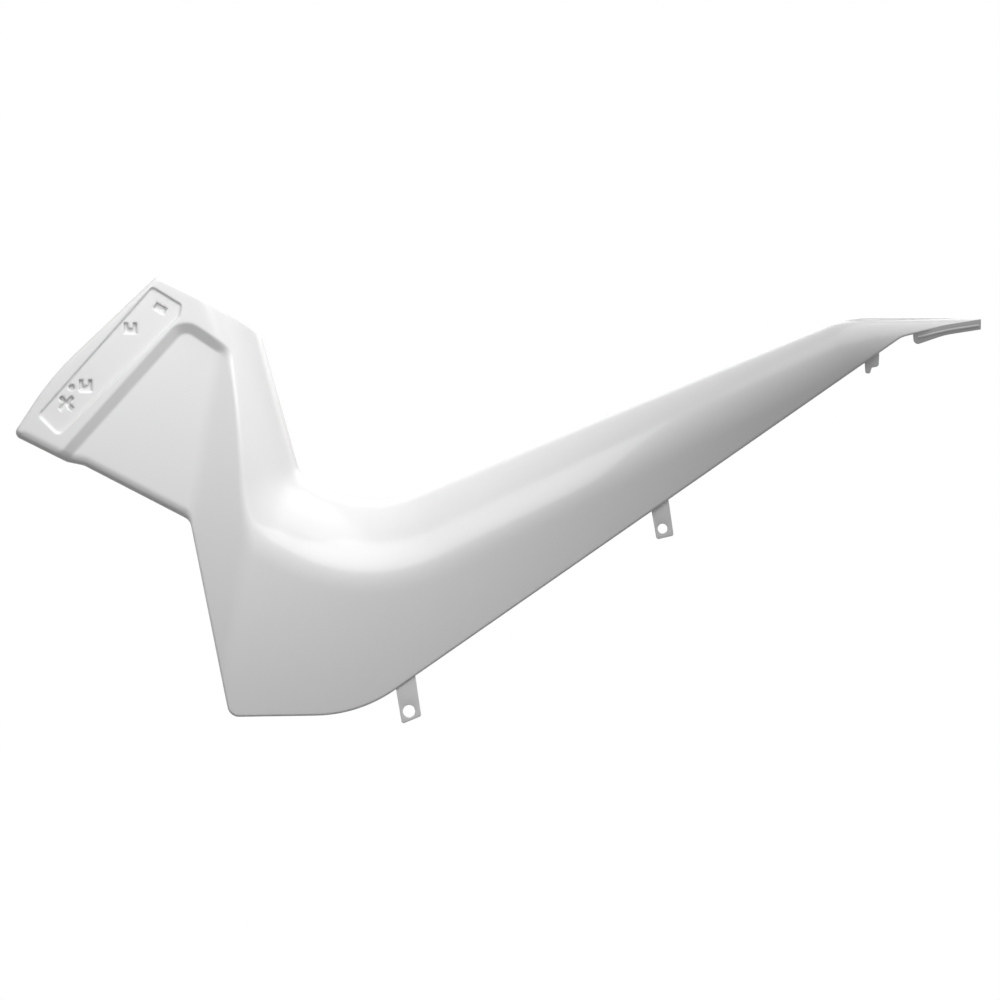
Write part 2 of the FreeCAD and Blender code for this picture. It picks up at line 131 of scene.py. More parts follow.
# Points along an outline with rounded corners, the side each one is on, and how far it
# has gone over to the next side
def roundedLoop(points, step, closed=True):
    xy = [np.array(p[:2], float) for p in points]
    count = len(points)
    places, sides = [], []
    bends = []
    for i in range(count):
        if not closed and i in (0, count - 1):
            bends.append((xy[i], xy[i], []))
            continue
        c = xy[i]
        before, after = xy[i - 1] - c, xy[(i + 1) % count] - c
        before, after = before / np.linalg.norm(before), after / np.linalg.norm(after)
        half = math.acos(np.clip(before @ after, -1, 1)) / 2
        run = points[i][2] / math.tan(half)
        a, b = c + before * run, c + after * run
        centre = c + (before + after) / np.linalg.norm(before + after) * points[i][2] / math.sin(half)
        turn = math.pi - 2 * half
        length = turn * points[i][2]
        steps = max(int(math.ceil(turn / arcTurn)), int(math.ceil(length / step)), 1)
        arc = []
        for k in range(1, steps):
            t = k / steps
            w = (math.sin((1 - t) * turn), math.sin(t * turn))
            arc.append(centre + ((a - centre) * w[0] + (b - centre) * w[1]) / math.sin(turn))
        bends.append((a, b, arc))
    for i in range(count):
        a, b, arc = bends[i]
        side = points[i][3] if len(points[i]) > 3 else ""
        last = points[i - 1][3] if len(points[i]) > 3 else ""
        steps = len(arc) + 1
        bent = steps > 1 or np.linalg.norm(a - b) > 1e-6
        for k, place in enumerate([a] + arc + [b] if bent else [a]):
            places.append(place)
            sides.append((last, side, k / steps))
        if i == count - 1 and not closed:
            break
        following = bends[(i + 1) % count][0]
        length = np.linalg.norm(following - b)
        pieces = max(int(round(length / step)), 1)
        for k in range(1, pieces):
            places.append(b + (following - b) * k / pieces)
            sides.append((side, side, 1.0))
    return np.array(places), sides


# Distance from each point to a path, the place on it and the piece of it
def nearest(points, path, closed):
    a = path if closed else path[:-1]
    b = np.roll(path, -1, axis=0) if closed else path[1:]
    ab = b - a
    length = np.maximum((ab ** 2).sum(1), 1e-12)
    distance = np.empty(len(points))
    place = np.empty((len(points), 2))
    index = np.empty(len(points), int)
    batch = 4000           # keeps the memory small
    for start in range(0, len(points), batch):
        p = points[start:start + batch, None, :]
        t = np.clip(((p - a) * ab).sum(2) / length, 0, 1)
        foot = a + t[..., None] * ab
        d = np.sqrt(((p - foot) ** 2).sum(2))
        k = d.argmin(1)
        rows = np.arange(len(k))
        distance[start:start + batch] = d[rows, k]
        place[start:start + batch] = foot[rows, k]
        index[start:start + batch] = k
    return distance, place, index


# True for the points inside a closed polygon
def inside(points, polygon):
    x, y = points[:, 0][:, None], points[:, 1][:, None]
    a, b = polygon, np.roll(polygon, -1, axis=0)
    rises = (a[:, 1] > y) != (b[:, 1] > y)
    height = np.where(b[:, 1] == a[:, 1], 1e-12, b[:, 1] - a[:, 1])
    crossing = a[:, 0] + (y - a[:, 1]) * (b[:, 0] - a[:, 0]) / height
    return ((rises & (x < crossing)).sum(1) % 2) == 1


# A smooth curve through a few values, level beyond both ends
def naturalSpline(x, xs, ys):
    n = len(xs)
    h, m = np.diff(xs), np.zeros((n, n))
    right = np.zeros(n)
    m[0, 0] = m[-1, -1] = 1
    for i in range(1, n - 1):
        m[i, i - 1:i + 2] = h[i - 1], 2 * (h[i - 1] + h[i]), h[i]
        right[i] = 6 * ((ys[i + 1] - ys[i]) / h[i] - (ys[i] - ys[i - 1]) / h[i - 1])
    bend = np.linalg.solve(m, right)
    x = np.clip(x, xs[0], xs[-1])
    i = np.clip(np.searchsorted(xs, x) - 1, 0, n - 2)
    left, rest = x - xs[i], xs[i + 1] - x
    return ((bend[i] * rest ** 3 + bend[i + 1] * left ** 3) / (6 * h[i])
            + (ys[i] / h[i] - bend[i] * h[i] / 6) * rest
            + (ys[i + 1] / h[i] - bend[i + 1] * h[i] / 6) * left)


# The face: along x, the height of its middle, half its height, its depth, lean
# and bulge
faceShape = np.array([
    (-400.0, 180.0, 300.0, 0.0, 0.00, 4.0),
    (-60.0, 150.0, 260.0, 0.0, 0.00, 4.0),
    (120.0, 160.0, 170.0, 2.0, -0.02, 6.0),
    (300.0, 252.0, 140.0, 20.0, -0.08, 6.0),
    (420.0, 315.0, 110.0, 42.0, -0.12, 6.0),
    (520.0, 330.0, 100.0, 66.0, -0.12, 6.0),
])
shoulder = {"x": [valleyX, tailBendX, 608.0], "radius": [80.0, 40.0, 14.0]}
facet = {"footX": -159.4, "turn": math.tan(math.radians(26.6)), "lean": math.tan(math.radians(4.66))}
wing = {
    "depth": 19.0,
    "endX": -100.0,        # the recess and the pocket end in front of it
    "recess": 7.5,
    "recessSlope": 50.0,   # degrees between its wall and the depth
    "recessSoft": 0.12,    # softness of the wall's two ends, as a share of its depth
    "pocket": 2.5,
    "pocketSlope": 32.0,
    "pocketSoft": 0.3,
}
recessCorners = [
    (-296.7, 206.6, 9.0), (-191.3, 323.9, 9.0), (-158.0, 302.0, 9.0),
    (-158.0, 94.0, 9.0), (-296.7, 94.0, 9.0)]
pocketCorners = [
    (-314.5, 251.6, 3.0), (-218.5, 359.6, 3.0), (-194.7, 345.1, 3.0),
    (-196.4, 335.8, 3.0), (-298.4, 235.5, 4.0)]
pocketRows = (-0.6, 0.0, 0.52, 1.04, 1.56, 2.1)     # rows of points down the pocket's wall
pocketRoom = {"left": -330.0, "right": -180.0, "low": 225.0}     # holds the pocket and its rows

sockets = {
    "depth": 5.0,
    "wall": 1.8,
    "chamfer": 0.35,
    "floor": wing["depth"] + wing["pocket"],
    "mouthStep": 1.2,      # spacing of the points round a mouth
    "blockStep": 2.5,      # and round the block behind it
    "clearOutside": 0.7,   # how far other points keep from them
    "clearInside": 1.2,
    "places": [
        ("clip", -237.2, 325.6, 0), ("clip", -275.4, 277.1, 0), ("lug", -211.7, 342.6, -31),
        ("screw", -287.3, 275.4, 0), ("cross", -291.6, 261.8, 45)],
    "sizes": {"clip": (11.0, 9.5), "lug": (11.0, 5.5), "screw": (5.2, 5.2), "cross": (15.0, 15.0)},
    "clipTongue": 4.0,
    "crossBar": 3.6,
}


# The mouth of a socket, clockwise round its own middle, and with its chamfer
def socketShape(kind, grow=0.0):
    w, h = (side / 2 + grow for side in sockets["sizes"][kind])
    if kind == "screw":
        turns = np.linspace(0, -2 * math.pi, 28, endpoint=False)
        return [(w * math.cos(a), w * math.sin(a)) for a in turns]
    if kind == "clip":
        k = sockets["clipTongue"] / 2 - grow
        return [(-w, -h), (-w, h), (-k, h), (-k, grow), (k, grow), (k, h), (w, h), (w, -h)]
    if kind == "cross":
        b = sockets["crossBar"] / 2 + grow
        left = [(-b, -w), (-b, -b), (-w, -b), (-w, b), (-b, b), (-b, w)]
        return left[2:] + [(-x, -z) for x, z in left] + left[:2]
    return [(-w, -h), (-w, h), (w, h), (w, -h)]


# Points along a shape that is turned and put in its place
def placedLoop(shape, x, z, angle, step):
    c, s = math.cos(math.radians(angle)), math.sin(math.radians(angle))
    points = [np.array((x + u * c - v * s, z + u * s + v * c)) for u, v in shape]
    loop = []
    for a, b in zip(points, points[1:] + points[:1]):
        pieces = max(int(round(np.linalg.norm(b - a) / step)), 1)
        loop.extend(a + (b - a) * k / pieces for k in range(pieces))
    return np.array(loop)


# The top edge with ends that run past the panel: pillar, valley and tail
topCorners = [(-169.7, 472.0, 0.0, "top"), *corners[5:8], (shoulder["x"][2], 333.7, 0.0, "top")]
topPath = roundedLoop(topCorners, 1.5, closed=False)[0]


# Depth of the face before its edges roll
def sheetDepth(x, z):
    columns = (naturalSpline(x, faceShape[:, 0], faceShape[:, k]) for k in range(1, 6))
    middle, half, deep, lean, bulge = columns
    return deep + bulge * ((z - middle) / half) ** 2 + lean * (z - middle)


# Radius of the rolled top edge
def shoulderRadius(x):
    return np.interp(x, shoulder["x"], shoulder["radius"])


# How much deeper a rolled edge is at a distance s from it
def roll(radius, s):
    reach = np.clip(radius - s, 0, radius)
    return radius - np.sqrt(np.maximum(radius ** 2 - reach ** 2, 0))


# 1 on the floor of a sunk field and 0 outside its sloping wall
def sunk(points, shape, run, soft):
    loop = roundedLoop(shape, 2.0)[0]
    d, _, _ = nearest(points, loop, True)
    d = np.where(inside(points, loop), -d, d)
    return smoothMin(smoothMax(1 - d / run, 0.0, soft), 1.0, soft)


# Depth of the outer face, or of the inner one with the wall taken off
def depthAt(points, taken, topDistance=None):
    x, z = points[:, 0], points[:, 1]
    s, place, _ = nearest(points, topPath, False)
    if topDistance is not None:
        s = np.where(np.isnan(topDistance), s, topDistance)
    sheet = sheetDepth(x, z) + taken
    face = sheet + roll(shoulderRadius(place[:, 0]) - taken, s - taken)
    lean = math.sqrt(1 + facet["turn"] ** 2 + facet["lean"] ** 2)
    slanted = -(x - facet["footX"]) * facet["turn"] + z * facet["lean"] + taken * lean
    flat = np.full(len(x), wing["depth"] + taken)
    near = x < wing["endX"]
    if near.any():
        for key, shape in (("recess", recessCorners), ("pocket", pocketCorners)):
            slope = math.radians(wing[key + "Slope"])
            widened = taken * math.tan((math.pi / 2 - slope) / 2)
            run = wing[key] * math.tan(slope)
            wide = insetCorners(shape, -widened)
            flat[near] += wing[key] * sunk(points[near], wide, run, wing[key + "Soft"])
    rise = np.clip((z - panel["browFrom"]) / panel["browRise"], 0, 1)
    crest = panel["crest"] + panel["brow"] * rise ** 2 * (3 - 2 * rise)
    return smoothMax(face, smoothMin(slanted, flat, panel["crease"]), crest)


# The roll radius at each point of an outline
def edgeRolls(places, sides):
    radii = []
    for place, (last, side, share) in zip(places, sides):
        if last == side == "top":
            radii.append(shoulderRadius(place[0]))
            continue
        a = edgeRoll[side if last == "top" else last]
        b = edgeRoll[last if side == "top" else side]
        radii.append(a + (b - a) * share)
    return np.array(radii)


# Depth at which the wall behind the wing and along the top ends
def backLimit(x):
    main = panel["backDepth"] + x * panel["backSlope"]
    root = panel["wingBack"] + np.maximum(x - notchX, 0) * panel["rootSlope"]
    bendDepth = panel["backDepth"] + tailBendX * panel["backSlope"]
    tail = bendDepth - (x - tailBendX) * panel["tailTaper"]
    return np.minimum(np.minimum(main, root), tail)


# How far the rows run in from each point of the edge, less where the outline is narrow
def rowTravel(loop, normal, radius, onTop):
    travel = np.where(onTop, panel["rowShare"] * radius, np.minimum(radius, panel["rowReach"]))
    narrow = np.zeros(len(loop), bool)
    for _ in range(40):
        reach = nearest(loop + normal * travel[:, None], loop, True)[0]
        tight = reach < 0.99 * travel
        if not tight.any():
            break
        narrow |= tight
        travel[tight] *= 0.9
    travel[narrow] *= panel["rowSpare"]
    gap = np.linalg.norm(np.roll(loop, -1, axis=0) - loop, axis=1)
    count = len(loop)
    change = panel["rowChange"] * gap
    for _ in range(2):     # round the loop both ways, twice
        for i in range(count):
            travel[i] = min(travel[i], travel[i - 1] + change[i - 1])
        for i in range(count - 1, -1, -1):
            travel[i] = min(travel[i], travel[(i + 1) % count] + change[i])
    return travel


# Points across the face, closer together where it bends
def facePoints(inner, taken, grid, step):
    low, high = inner.min(0), inner.max(0)
    u, v = (np.arange(low[k] + grid / 2, high[k], grid) for k in (0, 1))
    spread = np.stack(np.meshgrid(u, v), axis=-1)
    flatPoints = spread.reshape(-1, 2)
    within = inside(flatPoints, inner)
    height = np.full(len(flatPoints), np.nan)
    height[within] = depthAt(flatPoints[within], taken)
    height = height.reshape(spread.shape[:2])
    bend = np.zeros(height.shape)
    bend[1:-1] = np.nan_to_num(np.abs(height[2:] + height[:-2] - 2 * height[1:-1]))
    across = np.nan_to_num(np.abs(height[:, 2:] + height[:, :-2] - 2 * height[:, 1:-1]))
    bend[:, 1:-1] = np.maximum(bend[:, 1:-1], across)
    busy = bend > panel["bend"]
    around = [(i, k) for i in (-1, 0, 1) for k in (-1, 0, 1) if i or k]
    fine = np.concatenate([spread[busy] + np.array(place) * grid / 3 for place in around])
    fine = np.unique(np.round(fine, 4), axis=0)
    field = np.concatenate([flatPoints[within], fine])
    field = field[inside(field, inner)]
    return field[nearest(field, inner, True)[0] > 0.45 * min(step, grid)]


# Outside, the mouth of each socket and its chamfer; inside, the block behind it
def socketLoops(taken):
    mouths, lips = [], []
    for kind, x, z, angle in sockets["places"]:
        if taken:
            w, h = (side / 2 + sockets["wall"] for side in sockets["sizes"][kind])
            block = [(-w, -h), (-w, h), (w, h), (w, -h)]
            mouths.append(placedLoop(block, x, z, angle, sockets["blockStep"]))
            continue
        for loops, grow in ((mouths, 0.0), (lips, sockets["chamfer"])):
            loops.append(placedLoop(socketShape(kind, grow), x, z, angle, sockets["mouthStep"]))
    return mouths, lips


# The field with room made round the sockets, and with rows down the pocket's wall
def clearedField(field, loops, taken):
    rows = [] if taken else [roundedLoop(insetCorners(pocketCorners, -k), 1.3)[0] for k in pocketRows]
    rim = np.concatenate(loops + rows)
    x, z = field[:, 0], field[:, 1]
    close = (x > pocketRoom["left"]) & (x < pocketRoom["right"]) & (z > pocketRoom["low"])
    apart = np.sqrt(((field[close][:, None] - rim[None]) ** 2).sum(2)).min(1)
    keep = np.ones(len(field), bool)
    keep[close] = apart > sockets["clearInside" if taken else "clearOutside"]
    field = np.unique(np.round(field[keep], 4), axis=0)
    return np.concatenate([field] + rows)


# Where the wall behind each point of the edge ends
def wallEnds(loop, sides, front):
    end = []
    for place, deep, (last, side, share) in zip(loop, front, sides):
        ends = []
        for name in (last, side):
            ends.append(deep + panel["flange"] if name in ("lower", "tip") else backLimit(place[0]))
        end.append(ends[0] + (ends[1] - ends[0]) * share)
    end = np.array(end)
    for _ in range(panel["wallPasses"]):
        end = (np.roll(end, 1) + end + np.roll(end, -1)) / 3
    return np.maximum(end, front + panel["wallLeast"])


# The floor of each socket, or the back of its block, and the wall round it
def sinkSockets(tris, flat, taken, lookup, verts, faces):
    deep = sockets["floor"] + sockets["depth"] + (sockets["wall"] if taken else 0.0)
    names = {}
    for k in sorted({k for tri in tris for k in tri}):
        names[k] = len(verts)
        verts.append((flat[k, 0], deep, flat[k, 1]))
    uses = {}
    for tri in tris:
        faces.append(tuple(names[k] for k in tri))
        for a, b in zip(tri, tri[1:] + tri[:1]):
            uses.setdefault((min(a, b), max(a, b)), []).append((a, b))
    for (a, b), found in uses.items():
        if len(found) == 1:
            faces.append((lookup[a], lookup[b], names[b], names[a]))


# The outer or the inner skin: a field over the side view, rows that follow the rolled
# edge, and a wall back to where the panel ends
def skin(taken, grid, step):
    shape = corners
    if taken:              # the hollow closes before the tail's tip
        pointed = [tipApex if c[3] == "tip" else c for c in corners if c[:2] != tipLow]
        shape = insetCorners(pointed, taken)
    loop, sides = roundedLoop(shape, step)
    count = len(loop)
    tangent = np.roll(loop, -1, axis=0) - np.roll(loop, 1, axis=0)
    tangent /= np.linalg.norm(tangent, axis=1)[:, None]
    normal = np.stack([tangent[:, 1], -tangent[:, 0]], axis=1)
    radius = np.maximum(edgeRolls(loop, sides) - taken, leastRound)
    onTop = np.array([(last == "top" and side == "top") for last, side, _ in sides])
    travel = rowTravel(loop, normal, radius, onTop)
    edgePath = loop[~onTop]
    edgeRadius = radius[~onTop]

    # Depth with the small roll of the edges that the shoulder doesn't reach
    def withEdge(points, distance=None):
        known = None if distance is None else np.where(np.tile(onTop, rows), distance + taken, np.nan)
        depth = depthAt(points, taken, known)
        d, _, k = nearest(points, edgePath, True)
        d = d if distance is None else np.where(np.tile(onTop, rows), d, distance)
        return depth + roll(edgeRadius[k], d)

    rows = panel["rows"] + 1
    most = np.arccos(np.clip(1 - travel / radius, -1, 1))
    distance = np.array([radius * (1 - np.cos(most * k / panel["rows"])) for k in range(rows)])
    ring = loop[None] + normal[None] * distance[..., None]
    ringDepth = withEdge(ring.reshape(-1, 2), distance.ravel()).reshape(rows, count)

    # The field is meshed round the loops of the sockets
    inner = ring[-1]
    mouths, lips = socketLoops(taken)
    field = clearedField(facePoints(inner, taken, grid, step), mouths + lips, taken)
    flat = np.concatenate([inner, field] + mouths + lips)
    starts = np.cumsum([count + len(field)] + [len(m) for m in mouths + lips])
    bounds = zip([0] + list(starts[:-1]), [count] + list(starts[1:]))
    rings = [list(range(a, b))[::-1] for a, b in bounds]
    out, _, tris, origin, _, owner = delaunay_2d_cdt([Vector(p) for p in flat], [], rings, 1, 1e-4)
    flatOut = np.array([p[:] for p in out])
    source = np.array([min(o) if o else -1 for o in origin])
    onMouth = (source >= starts[0]) & (source < starts[len(mouths)]) | (source < 0)

    verts = []
    ringIndex = np.arange(rows * count).reshape(rows, count)
    for k in range(rows):
        verts.extend(zip(ring[k, :, 0], ringDepth[k], ring[k, :, 1]))
    fieldDepth = withEdge(flatOut)
    if not taken:
        fieldDepth[onMouth] += sockets["chamfer"]
    fieldStart = len(verts)
    verts.extend(zip(flatOut[:, 0], fieldDepth, flatOut[:, 1]))
    lookup = [ringIndex[-1][s] if 0 <= s < count else fieldStart + k for k, s in enumerate(source)]
    mouthNames = set(range(1, len(mouths) + 1))
    faces = [tuple(lookup[k] for k in tri) for tri, own in zip(tris, owner) if not mouthNames & set(own)]

    sunkTris = [tri for tri, own in zip(tris, owner) if mouthNames & set(own)]
    sinkSockets(sunkTris, flatOut, taken, lookup, verts, faces)
    after = np.roll(np.arange(count), -1)
    for k in range(rows - 1):
        faces.extend(zip(ringIndex[k], ringIndex[k][after], ringIndex[k + 1][after], ringIndex[k + 1]))

    # The wall behind the edge
    end = wallEnds(loop, sides, ringDepth[0])
    previous = ringIndex[0]
    for k in range(1, panel["wallRows"] + 1):
        start = len(verts)
        deep = ringDepth[0] + (end - ringDepth[0]) * k / panel["wallRows"]
        verts.extend(zip(loop[:, 0], deep, loop[:, 1]))
        current = np.arange(start, start + count)
        faces.extend(zip(previous, current, current[after], previous[after]))
        previous = current
    return verts, faces, loop, previous


# A closed mesh in metres, with its doubles merged and its faces outward
def meshObject(name, verts, faces, materials, facesMaterial=None):
    mesh = bpy.data.meshes.new(name)
    mesh.from_pydata([(x * mm, (y - tabDepth) * mm, z * mm) for x, y, z in verts], [], faces)
    for material in materials:
        mesh.materials.append(material)
    if facesMaterial is not None:
        mesh.polygons.foreach_set("material_index", facesMaterial)
    work = bmesh.new()
    work.from_mesh(mesh)
    bmesh.ops.remove_doubles(work, verts=work.verts, dist=doubles)
    bmesh.ops.dissolve_degenerate(work, edges=work.edges, dist=0.00001)
    for _ in range(3):     # a face or two that don't meet are taken out and closed again
        wrong = {f for e in work.edges if len(e.link_faces) != 2 for f in e.link_faces}
        if not wrong:
            break
        bmesh.ops.delete(work, geom=list(wrong), context="FACES")
        bmesh.ops.holes_fill(work, edges=[e for e in work.edges if len(e.link_faces) == 1], sides=30)
    bmesh.ops.triangulate(work, faces=[f for f in work.faces if len(f.verts) > 4])
    bmesh.ops.recalc_face_normals(work, faces=work.faces)
    loose = sum(1 for e in work.edges if len(e.link_faces) != 2)
    work.to_mesh(mesh)
    work.free()
    mesh.shade_smooth()
    piece = bpy.data.objects.new(name, mesh)
    bpy.context.scene.collection.objects.link(piece)
    print(name, len(mesh.vertices), "points", len(mesh.polygons), "faces, open edges", loose)
    return piece


# Painted or bare plastic with a faint orange peel and uneven gloss
def paintMaterial(name, color, roughness, coat, peel):
    material = bpy.data.materials.new(name)
    material.use_nodes = True
    nodes, links = material.node_tree.nodes, material.node_tree.links
    shader = nodes["Principled BSDF"]
    shader.inputs["Base Color"].default_value = (*color, 1)
    shader.inputs["IOR"].default_value = 1.5
    shader.inputs["Coat Weight"].default_value = coat
    shader.inputs["Coat Roughness"].default_value = 0.06
    place = nodes.new("ShaderNodeTexCoord")
    cloud = nodes.new("ShaderNodeTexNoise")
    cloud.inputs["Scale"].default_value = 14.0
    cloud.inputs["Detail"].default_value = 3.0
    links.new(place.outputs["Object"], cloud.inputs["Vector"])
    gloss = nodes.new("ShaderNodeMapRange")
    gloss.inputs["To Min"].default_value = roughness * 0.85
    gloss.inputs["To Max"].default_value = roughness * 1.2
    links.new(cloud.outputs["Fac"], gloss.inputs["Value"])
    links.new(gloss.outputs["Result"], shader.inputs["Roughness"])
    grain = nodes.new("ShaderNodeTexNoise")
    grain.inputs["Scale"].default_value = 520.0
    grain.inputs["Detail"].default_value = 2.0
    links.new(place.outputs["Object"], grain.inputs["Vector"])
    bump = nodes.new("ShaderNodeBump")
    bump.inputs["Strength"].default_value = peel
    bump.inputs["Distance"].default_value = 0.0002
    links.new(grain.outputs["Fac"], bump.inputs["Height"])
    links.new(bump.outputs["Normal"], shader.inputs["Normal"])
    return material


whitePaint = paintMaterial("whitePaint", (0.80, 0.805, 0.80), 0.3, 0.35, 0.05)
insidePlastic = paintMaterial("insidePlastic", (0.72, 0.725, 0.72), 0.5, 0.0, 0.25)

# The shell: an outer skin, an inner skin and the rim between them
outerVerts, outerFaces, outerLoop, outerEnd = skin(0.0, panel["grid"], panel["step"])
innerGrid, innerStep = panel["grid"] * panel["innerGrid"], panel["step"] * panel["innerStep"]
innerVerts, innerFaces, innerLoop, innerEnd = skin(panel["wall"], innerGrid, innerStep)
shift = len(outerVerts)
verts = outerVerts + innerVerts
faces = outerFaces + [tuple(k + shift for k in face) for face in innerFaces]
ends = [Vector(p) for p in np.concatenate([outerLoop, innerLoop])]
names = list(outerEnd) + [k + shift for k in innerEnd]
outerCount = len(outerLoop)
loops = [list(range(outerCount))[::-1], list(range(outerCount, len(ends)))[::-1]]
_, _, tris, origin, _, owner = delaunay_2d_cdt(ends, [], loops, 1, 1e-5)
rimFaces = [tuple(names[origin[k][0]] for k in tri) for tri, own in zip(tris, owner) if 1 not in own]
faceKinds = [0] * len(outerFaces) + [1] * len(innerFaces) + [0] * len(rimFaces)
shell = meshObject("sidePanel", verts, faces + rimFaces, [whitePaint, insidePlastic], faceKinds)


# A plate with rounded edges, from its outline, its holes and the depth of its face
def slab(loops, front, thickness, bevel=0.5):
    flat = [Vector(p) for p in np.concatenate(loops)]
    starts = np.cumsum([0] + [len(p) for p in loops])
    rings = [list(range(a, b)) for a, b in zip(starts[:-1], starts[1:])]
    out, _, tris, _, _, owner = delaunay_2d_cdt(flat, [], rings, 1, 1e-5)
    tris = [t for t, own in zip(tris, owner) if not any(k in own for k in range(1, len(rings)))]
    points = np.array([p[:] for p in out])
    depth = front(points) if callable(front) else np.full(len(points), float(front))
    count = len(points)
    verts = [(p[0], y, p[1]) for p, y in zip(points, depth)]
    verts += [(p[0], y + thickness, p[1]) for p, y in zip(points, depth)]
    faces = [tuple(t) for t in tris] + [tuple(k + count for k in reversed(t)) for t in tris]
    for ring in rings:
        for a, b in zip(ring, ring[1:] + ring[:1]):
            faces.append((a, b, b + count, a + count))
    mesh = bpy.data.meshes.new("slab")
    mesh.from_pydata(verts, [], faces)
    work = bmesh.new()
    work.from_mesh(mesh)
    bmesh.ops.recalc_face_normals(work, faces=work.faces)
    sharp = [e for e in work.edges if e.calc_face_angle(0) > 1.0]
    bmesh.ops.bevel(work, geom=sharp, offset=bevel, segments=3, affect="EDGES", profile=0.5)
    work.to_mesh(mesh)
    work.free()
    verts = [tuple(v.co) for v in mesh.vertices]
    faces = [tuple(p.vertices) for p in mesh.polygons]
    bpy.data.meshes.remove(mesh)
    return verts, faces


edgeSlope = (chin[1] - keel[1]) / (chin[0] - keel[0])


# Height of the straight lower edge
def edgeHeight(x):
    return keel[1] + (x - keel[0]) * edgeSlope


fixings = {
    "root": 6.6,
    "lean": math.radians(9),
    "shift": 1.0,
    "foot": 7.8,
    "frontTab": {"hole": (0.0, 0.0), "bore": 10.4, "width": 16.5, "turn": 23, "depth": tabDepth},
    "rearTab": {"hole": (215.6, 155.1), "bore": 8.2, "width": 14.6, "turn": 13, "depth": 13.467},
}


# The outline and the hole of a tab that leans forward
def tabLoops(tab):
    x, z = tab["hole"]
    down = np.array((math.sin(fixings["lean"]), -math.cos(fixings["lean"])))
    axis = np.array((x + fixings["shift"], z))
    low = axis + down * fixings["foot"]
    high = axis - down * (edgeHeight(x) - z + fixings["root"])
    foot = np.array((1, math.tan(math.radians(tab["turn"])))) * tab["width"] / 2
    top = np.array((1, edgeSlope)) * tab["width"] / 2
    shape = [(*(high - top), 0.4), (*(high + top), 0.4), (*(low + foot), 2.0), (*(low - foot), 2.0)]
    turns = np.linspace(0, 2 * math.pi, 48, endpoint=False)
    hole = np.array((x, z)) + tab["bore"] / 2 * np.stack([np.cos(turns), np.sin(turns)], axis=1)
    return [roundedLoop(shape, 2.0)[0], hole]


smallVerts, smallFaces = [], []


def addSlab(part):
    start = len(smallVerts)
    smallVerts.extend(part[0])
    smallFaces.extend(tuple(k + start for k in face) for face in part[1])


for name in ("frontTab", "rearTab"):
    addSlab(slab(tabLoops(fixings[name]), fixings[name]["depth"], panel["wall"]))
hook = {"x": 394.0, "width": 12.5, "drop": 13.0, "depth": 41.89}
left, right = hook["x"] - hook["width"] / 2, hook["x"] + hook["width"] / 2
foot = edgeHeight(hook["x"]) - hook["drop"]
hookShape = [
    (left, edgeHeight(left) + fixings["root"], 0.4), (right + 0.6, edgeHeight(right) + fixings["root"], 0.4),
    (right, foot + 6.0, 3.0), (left + 6.5, foot + 5.0, 1.0), (left + 5.0, foot, 1.6), (left + 1.0, foot, 2.0)]
addSlab(slab([roundedLoop(hookShape, 1.5)[0]], hook["depth"], panel["wall"]))
tongue = {"left": 429.5, "rise": 1.5, "drop": 7.4, "tip": 9.6, "setback": 9.4}
tongueRoot = chin[1] + (tongue["left"] - chin[0]) * (nose[1] - chin[1]) / (nose[0] - chin[0])
tongueShape = [
    (tongue["left"], tongueRoot + tongue["rise"], 0.5), (nose[0], nose[1] + tongue["rise"], 60.0),
    (tipLow[0], tipLow[1] + tongue["rise"], 0.3), (tipLow[0], tipLow[1] - tongue["drop"], 0.8),
    (nose[0], nose[1] - tongue["drop"], 80.0), (tongue["left"] + 1.0, tongueRoot - tongue["tip"], 4.0)]
addSlab(slab([roundedLoop(tongueShape, 2.0)[0]],
             lambda p: sheetDepth(p[:, 0], p[:, 1]) + tongue["setback"], panel["wall"]))
fittings = meshObject("tabsAndHook", smallVerts, smallFaces, [whitePaint])
print("panel built")

# A bead runs along the middle of the tongue
bead = {
    "radius": 1.4,
    "stands": 0.8,         # how far it stands proud of the tongue
    "below": 3.9,          # how far it runs below the tail's edge
    "startX": 434.0,
    "endX": 486.0,
    "points": 27,
    "spacing": 1.5,
    "sides": 16,
}
lowerTail = np.array([chin, (450.0, 325.9), (463.0, 328.6), tipLow])     # rounded at the nose
x = np.linspace(bead["startX"], bead["endX"], bead["points"])
z = np.interp(x, lowerTail[:, 0], lowerTail[:, 1]) - bead["below"]
y = sheetDepth(x, z) + tongue["setback"] + bead["radius"] - bead["stands"]
pathMesh = bpy.data.meshes.new("beadPath")
pathMesh.from_pydata([(a * mm, (b - tabDepth) * mm, c * mm) for a, b, c in zip(x, y, z)],
                     [(k, k + 1) for k in range(len(x) - 1)], [])
tongueBead = bpy.data.objects.new("tongueBead", pathMesh)
bpy.context.scene.collection.objects.link(tongueBead)

sweep = bpy.data.node_groups.new("sweptBead", "GeometryNodeTree")
sweep.interface.new_socket("Path", in_out="INPUT", socket_type="NodeSocketGeometry")
inputs = {}
for name, kind in (("Radius", "Float"), ("Spacing", "Float"), ("Sides", "Int"), ("Material", "Material")):
    inputs[name] = sweep.interface.new_socket(name, in_out="INPUT", socket_type="NodeSocket" + kind).identifier
sweep.interface.new_socket("Bead", in_out="OUTPUT", socket_type="NodeSocketGeometry")
nodes, links = sweep.nodes, sweep.links
given = nodes.new("NodeGroupInput")
path = nodes.new("GeometryNodeMeshToCurve")
even = nodes.new("GeometryNodeResampleCurve")
even.mode = "LENGTH"
section = nodes.new("GeometryNodeCurvePrimitiveCircle")
tube = nodes.new("GeometryNodeCurveToMesh")
tube.inputs["Fill Caps"].default_value = True
painted = nodes.new("GeometryNodeSetMaterial")
result = nodes.new("NodeGroupOutput")
links.new(given.outputs["Path"], path.inputs["Mesh"])
